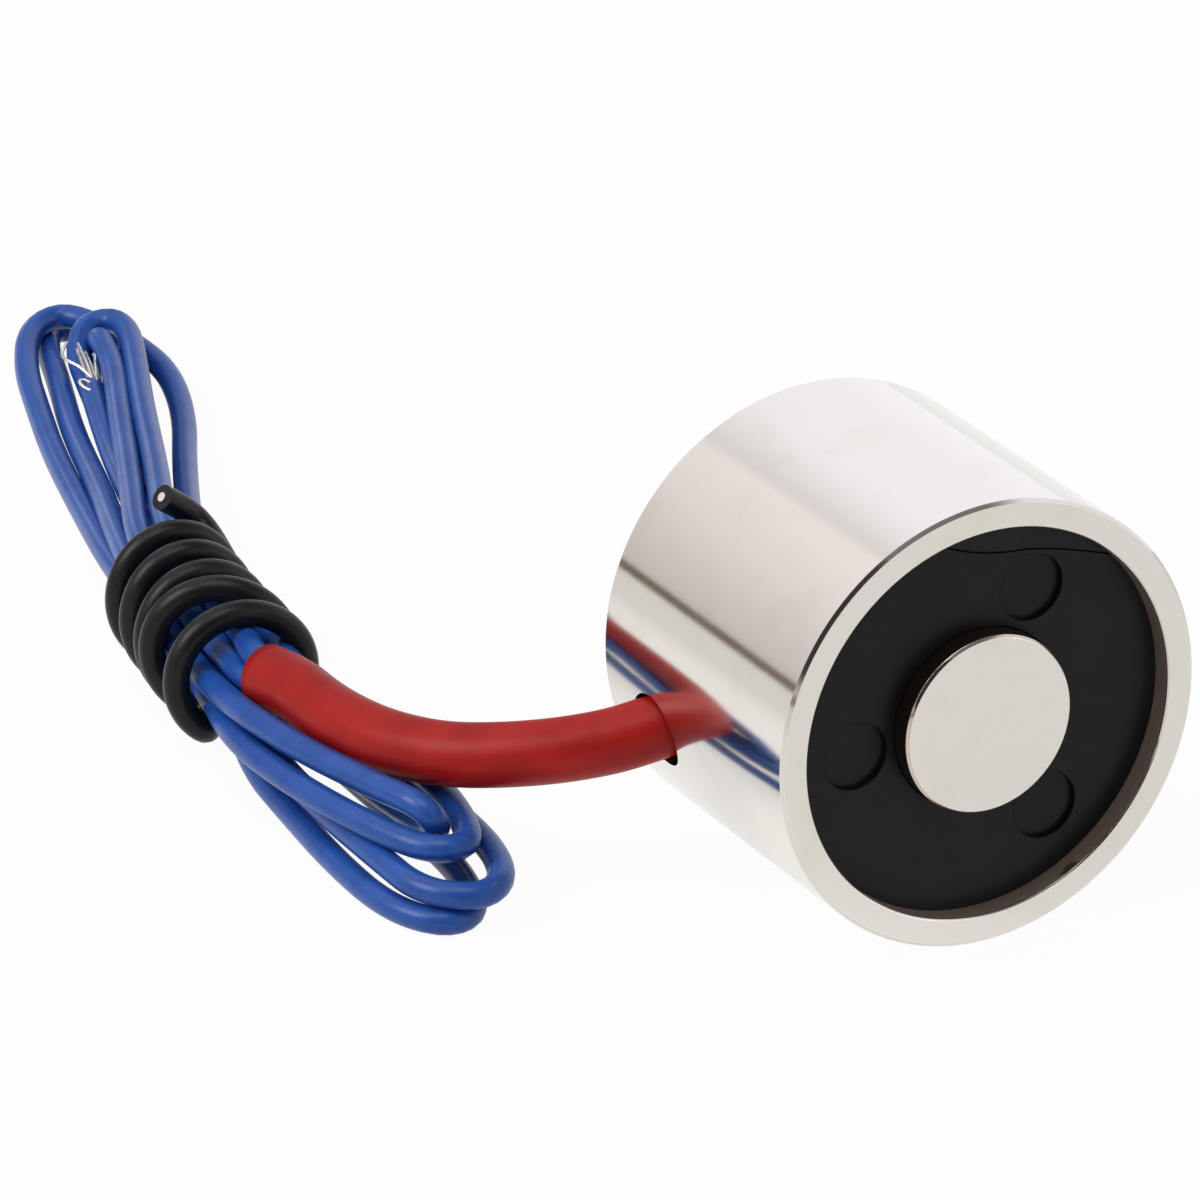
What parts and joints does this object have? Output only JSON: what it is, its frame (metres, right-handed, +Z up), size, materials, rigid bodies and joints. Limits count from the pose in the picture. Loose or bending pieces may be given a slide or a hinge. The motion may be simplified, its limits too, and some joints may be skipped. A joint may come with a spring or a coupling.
{
  "type": "robot magnetic gripper",
  "caption": "Small round holding electromagnet with a flush ring and pole face, a threaded mounting hole and two flying leads tied in a hank.",
  "frame": {"origin": "centre of the mounting face, on the axis of the threaded mounting hole", "axes": "+Y out of the threaded hole, -Y out of the holding face, +Z up with the magnet lying on its side"},
  "size_m": [0.0323, 0.0798, 0.02],
  "materials": {
    "nickel_steel": "bright nickel plate over turned steel",
    "black_bobbin": "black moulded nylon, satin",
    "black_resin": "black potting resin, satin",
    "copper_winding": "enamelled copper wire, stands in for copper",
    "winding_tape": "thin polyester tape",
    "red_sleeve": "red heat-shrink sleeve, satin gloss",
    "blue_lead": "blue lead insulation, satin gloss",
    "tinned_wire": "tinned copper, bright",
    "black_tie": "black plastic insulation, satin"
  },
  "bodies": {
    "root": {"pot_shell": "nickel_steel", "core_pole": "nickel_steel", "bobbin": "black_bobbin", "coil_winding": "copper_winding", "winding_tape": "winding_tape", "potting_resin": "black_resin", "exit_sleeve": "red_sleeve", "lead_a": "blue_lead", "lead_b": "blue_lead", "splice_a": "tinned_wire", "splice_b": "tinned_wire", "lead_hank": "blue_lead", "tie_wire": "black_tie", "tie_wire_tail": "black_tie", "tie_wire_core": "tinned_wire"}
  },
  "joints": []
}
